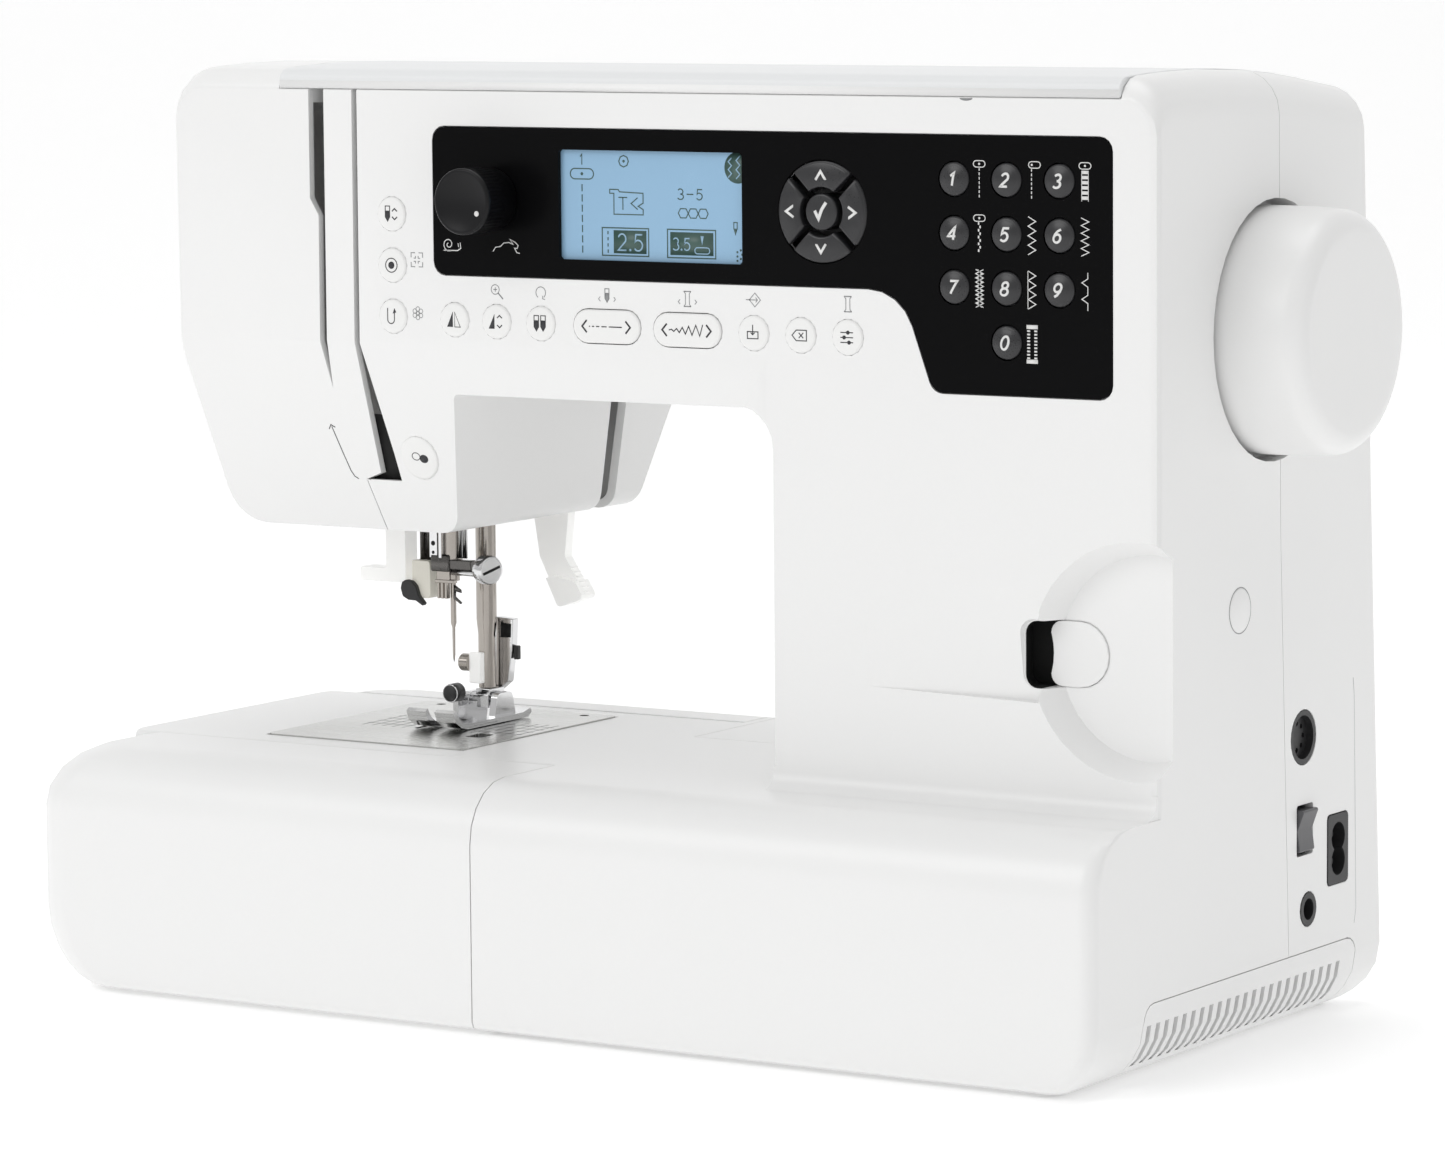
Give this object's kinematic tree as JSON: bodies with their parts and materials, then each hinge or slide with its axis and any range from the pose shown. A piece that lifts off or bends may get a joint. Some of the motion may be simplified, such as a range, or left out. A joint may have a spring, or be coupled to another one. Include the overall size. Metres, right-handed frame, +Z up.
{
  "type": "sewing machine",
  "caption": "Computerised free-arm sewing machine with black keypad panel, LCD, handwheel, hinged top lid, presser foot and slide-off extension table.",
  "frame": {"origin": "middle of the footprint, on the surface that the feet stand on", "axes": "+X to the right, towards the handwheel; +Y to the back, away from the user; +Z up"},
  "size_m": [0.419, 0.19, 0.297],
  "materials": {
    "casing_white": "satin white moulded ABS",
    "lid_grey": "satin pale grey",
    "plate_steel": "brushed, etched with lines",
    "panel_black": "satin black",
    "lcd_glass": "smooth blue display",
    "key_black": "soft grey-black",
    "key_white": "soft white",
    "socket_black": "moulded black",
    "chrome": "polished nickel",
    "lever_white": "white acetal",
    "shaft_steel": "ground",
    "cast_metal": "as cast",
    "belt_rubber": "moulded"
  },
  "bodies": {
    "machine": {"front_casing": "casing_white", "rear_casing": "casing_white", "face_cover": "casing_white", "bottom_tray": "casing_white", "needle_plate": "plate_steel", "control_panel": "panel_black", "lcd_screen": "lcd_glass", "mains_inlet": "socket_black", "socket_board": "socket_black", "motor": "cast_metal", "drive_belt": "belt_rubber", "machine_frame": "cast_metal"},
    "main_drive": {"handwheel": "casing_white", "main_shaft": "shaft_steel"},
    "motor_rotor": {"motor_pulley": "shaft_steel"},
    "lower_drive": {"lower_shaft": "shaft_steel"},
    "rotary_hook": {"hook": "chrome"},
    "needle_bar_set": {"needle_bar": "chrome", "needle": "chrome"},
    "take_up": {"take_up_lever": "shaft_steel"},
    "threader": {"needle_threader": "lever_white"},
    "lifter": {"presser_foot_lifter": "lever_white"},
    "presser_set": {"presser_bar": "chrome", "foot_holder": "chrome", "presser_foot": "chrome"},
    "buttonhole": {"buttonhole_lever": "lever_white"},
    "drop_feed": {"drop_feed_slider": "casing_white"},
    "feed": {"feed_dog": "shaft_steel"},
    "lid": {"top_lid": "lid_grey"},
    "table": {"extension_table": "casing_white"},
    "door": {"hook_door": "casing_white"},
    "knob": {"speed_knob": "panel_black"},
    "rocker": {"power_switch": "socket_black"},
    "needle_position_key_cap": {"needle_position_key": "key_white"},
    "auto_stop_key_cap": {"auto_stop_key": "key_white"},
    "hook_stitch_key_cap": {"hook_stitch_key": "key_white"},
    "mirror_key_cap": {"mirror_key": "key_white"},
    "elongation_key_cap": {"elongation_key": "key_white"},
    "twin_needle_key_cap": {"twin_needle_key": "key_white"},
    "memory_key_cap": {"memory_key": "key_white"},
    "clear_key_cap": {"clear_key": "key_white"},
    "program_key_cap": {"program_key": "key_white"},
    "reverse_key_cap": {"reverse_key": "key_white"},
    "stitch_length_key_cap": {"stitch_length_key": "key_white"},
    "stitch_width_key_cap": {"stitch_width_key": "key_white"},
    "number_key_0_cap": {"number_key_0": "key_black"},
    "number_key_1_cap": {"number_key_1": "key_black"},
    "number_key_2_cap": {"number_key_2": "key_black"},
    "number_key_3_cap": {"number_key_3": "key_black"},
    "number_key_4_cap": {"number_key_4": "key_black"},
    "number_key_5_cap": {"number_key_5": "key_black"},
    "number_key_6_cap": {"number_key_6": "key_black"},
    "number_key_7_cap": {"number_key_7": "key_black"},
    "number_key_8_cap": {"number_key_8": "key_black"},
    "number_key_9_cap": {"number_key_9": "key_black"},
    "arrow_key_up_cap": {"arrow_key_up": "key_black"},
    "arrow_key_down_cap": {"arrow_key_down": "key_black"},
    "arrow_key_left_cap": {"arrow_key_left": "key_black"},
    "arrow_key_right_cap": {"arrow_key_right": "key_black"},
    "tick_key_cap": {"tick_key": "key_black"}
  },
  "joints": [
    {"name": "handwheel_turn", "type": "hinge", "parent": "machine", "child": "main_drive", "pos_m": [0.174, 0.0198, 0.2178], "axis": [1, 0, 0], "continuous": true},
    {"name": "motor_turn", "type": "hinge", "parent": "machine", "child": "motor_rotor", "pos_m": [0.1055, -0.013, 0.1], "axis": [1, 0, 0], "continuous": true},
    {"name": "lower_shaft_turn", "type": "hinge", "parent": "machine", "child": "lower_drive", "pos_m": [0, 0.035, 0.046], "axis": [1, 0, 0], "continuous": true},
    {"name": "hook_turn", "type": "hinge", "parent": "machine", "child": "rotary_hook", "pos_m": [-0.1125, 0.005, 0.046], "axis": [0, 1, 0], "continuous": true},
    {"name": "needle_bar_stroke", "type": "slide", "parent": "machine", "child": "needle_bar_set", "axis": [0, 0, -1], "range_m": [0, 0.03]},
    {"name": "take_up_swing", "type": "hinge", "parent": "machine", "child": "take_up", "pos_m": [-0.1175, -0.007, 0.238], "axis": [1, 0, 0], "range_deg": [0, 40]},
    {"name": "needle_threader_pull", "type": "slide", "parent": "machine", "child": "threader", "axis": [0, 0, -1], "range_m": [0, 0.02]},
    {"name": "presser_lifter_swing", "type": "hinge", "parent": "machine", "child": "lifter", "pos_m": [-0.1095, 0.0493, 0.162], "axis": [0, -1, 0], "range_deg": [0, 40]},
    {"name": "presser_bar_lift", "type": "slide", "parent": "machine", "child": "presser_set", "axis": [0, 0, 1], "range_m": [0, 0.0066]},
    {"name": "buttonhole_lever_pull", "type": "slide", "parent": "machine", "child": "buttonhole", "axis": [0, 0, -1], "range_m": [0, 0.03]},
    {"name": "drop_feed_slide", "type": "slide", "parent": "machine", "child": "drop_feed", "axis": [-1, 0, 0], "range_m": [0, 0.0066]},
    {"name": "feed_dog_drop", "type": "slide", "parent": "machine", "child": "feed", "axis": [0, 0, -1], "range_m": [0, 0.004]},
    {"name": "top_lid_open", "type": "hinge", "parent": "machine", "child": "lid", "pos_m": [0, 0.0745, 0.287], "axis": [-1, 0, 0], "range_deg": [0, 88]},
    {"name": "table_pull_off", "type": "slide", "parent": "machine", "child": "table", "axis": [-1, 0, 0], "range_m": [0, 0.18]},
    {"name": "hook_door_open", "type": "hinge", "parent": "machine", "child": "door", "pos_m": [-0.1125, -0.0466, 0.026], "axis": [1, 0, 0], "range_deg": [0, 56]},
    {"name": "speed_knob_turn", "type": "hinge", "parent": "machine", "child": "knob", "pos_m": [-0.0515, -0.065, 0.256], "axis": [0, -1, 0], "range_deg": [-130, 130]},
    {"name": "power_switch_rock", "type": "hinge", "parent": "machine", "child": "rocker", "pos_m": [0.178, 0.0405, 0.06265], "axis": [0, -1, 0], "range_deg": [0, 12]},
    {"name": "needle_position_key_press", "type": "slide", "parent": "machine", "child": "needle_position_key_cap", "axis": [0, 1, 0], "range_m": [0, 0.0008], "stiffness_N_per_m": 250},
    {"name": "auto_stop_key_press", "type": "slide", "parent": "machine", "child": "auto_stop_key_cap", "axis": [0, 1, 0], "range_m": [0, 0.0008], "stiffness_N_per_m": 250},
    {"name": "hook_stitch_key_press", "type": "slide", "parent": "machine", "child": "hook_stitch_key_cap", "axis": [0, 1, 0], "range_m": [0, 0.0008], "stiffness_N_per_m": 250},
    {"name": "mirror_key_press", "type": "slide", "parent": "machine", "child": "mirror_key_cap", "axis": [0, 1, 0], "range_m": [0, 0.0008], "stiffness_N_per_m": 250},
    {"name": "elongation_key_press", "type": "slide", "parent": "machine", "child": "elongation_key_cap", "axis": [0, 1, 0], "range_m": [0, 0.0008], "stiffness_N_per_m": 250},
    {"name": "twin_needle_key_press", "type": "slide", "parent": "machine", "child": "twin_needle_key_cap", "axis": [0, 1, 0], "range_m": [0, 0.0008], "stiffness_N_per_m": 250},
    {"name": "memory_key_press", "type": "slide", "parent": "machine", "child": "memory_key_cap", "axis": [0, 1, 0], "range_m": [0, 0.0008], "stiffness_N_per_m": 250},
    {"name": "clear_key_press", "type": "slide", "parent": "machine", "child": "clear_key_cap", "axis": [0, 1, 0], "range_m": [0, 0.0008], "stiffness_N_per_m": 250},
    {"name": "program_key_press", "type": "slide", "parent": "machine", "child": "program_key_cap", "axis": [0, 1, 0], "range_m": [0, 0.0008], "stiffness_N_per_m": 250},
    {"name": "reverse_key_press", "type": "slide", "parent": "machine", "child": "reverse_key_cap", "axis": [0, 1, 0], "range_m": [0, 0.0012], "stiffness_N_per_m": 250},
    {"name": "stitch_length_key_rock", "type": "hinge", "parent": "machine", "child": "stitch_length_key_cap", "pos_m": [-0.0093, -0.0515, 0.2176], "axis": [0, 0, 1], "range_deg": [-2.5, 2.5], "stiffness_Nm_per_rad": 0.05},
    {"name": "stitch_width_key_rock", "type": "hinge", "parent": "machine", "child": "stitch_width_key_cap", "pos_m": [0.0201, -0.0515, 0.2174], "axis": [0, 0, 1], "range_deg": [-2.5, 2.5], "stiffness_Nm_per_rad": 0.05},
    {"name": "number_key_0_press", "type": "slide", "parent": "machine", "child": "number_key_0_cap", "axis": [0, 1, 0], "range_m": [0, 0.001], "stiffness_N_per_m": 250},
    {"name": "number_key_1_press", "type": "slide", "parent": "machine", "child": "number_key_1_cap", "axis": [0, 1, 0], "range_m": [0, 0.001], "stiffness_N_per_m": 250},
    {"name": "number_key_2_press", "type": "slide", "parent": "machine", "child": "number_key_2_cap", "axis": [0, 1, 0], "range_m": [0, 0.001], "stiffness_N_per_m": 250},
    {"name": "number_key_3_press", "type": "slide", "parent": "machine", "child": "number_key_3_cap", "axis": [0, 1, 0], "range_m": [0, 0.001], "stiffness_N_per_m": 250},
    {"name": "number_key_4_press", "type": "slide", "parent": "machine", "child": "number_key_4_cap", "axis": [0, 1, 0], "range_m": [0, 0.001], "stiffness_N_per_m": 250},
    {"name": "number_key_5_press", "type": "slide", "parent": "machine", "child": "number_key_5_cap", "axis": [0, 1, 0], "range_m": [0, 0.001], "stiffness_N_per_m": 250},
    {"name": "number_key_6_press", "type": "slide", "parent": "machine", "child": "number_key_6_cap", "axis": [0, 1, 0], "range_m": [0, 0.001], "stiffness_N_per_m": 250},
    {"name": "number_key_7_press", "type": "slide", "parent": "machine", "child": "number_key_7_cap", "axis": [0, 1, 0], "range_m": [0, 0.001], "stiffness_N_per_m": 250},
    {"name": "number_key_8_press", "type": "slide", "parent": "machine", "child": "number_key_8_cap", "axis": [0, 1, 0], "range_m": [0, 0.001], "stiffness_N_per_m": 250},
    {"name": "number_key_9_press", "type": "slide", "parent": "machine", "child": "number_key_9_cap", "axis": [0, 1, 0], "range_m": [0, 0.001], "stiffness_N_per_m": 250},
    {"name": "arrow_key_up_press", "type": "slide", "parent": "machine", "child": "arrow_key_up_cap", "axis": [0, 1, 0], "range_m": [0, 0.0008], "stiffness_N_per_m": 250},
    {"name": "arrow_key_down_press", "type": "slide", "parent": "machine", "child": "arrow_key_down_cap", "axis": [0, 1, 0], "range_m": [0, 0.0008], "stiffness_N_per_m": 250},
    {"name": "arrow_key_left_press", "type": "slide", "parent": "machine", "child": "arrow_key_left_cap", "axis": [0, 1, 0], "range_m": [0, 0.0008], "stiffness_N_per_m": 250},
    {"name": "arrow_key_right_press", "type": "slide", "parent": "machine", "child": "arrow_key_right_cap", "axis": [0, 1, 0], "range_m": [0, 0.0008], "stiffness_N_per_m": 250},
    {"name": "tick_key_press", "type": "slide", "parent": "machine", "child": "tick_key_cap", "axis": [0, 1, 0], "range_m": [0, 0.0008], "stiffness_N_per_m": 250}
  ],
  "couplings": [
    {"joint": "motor_turn", "follows": "handwheel_turn", "ratio": 3},
    {"joint": "lower_shaft_turn", "follows": "handwheel_turn", "ratio": 2},
    {"joint": "hook_turn", "follows": "handwheel_turn", "ratio": 2},
    {"joint": "presser_lifter_swing", "follows": "presser_bar_lift", "rad_per_m": 105},
    {"joint": "feed_dog_drop", "follows": "drop_feed_slide", "ratio": 0.6}
  ]
}
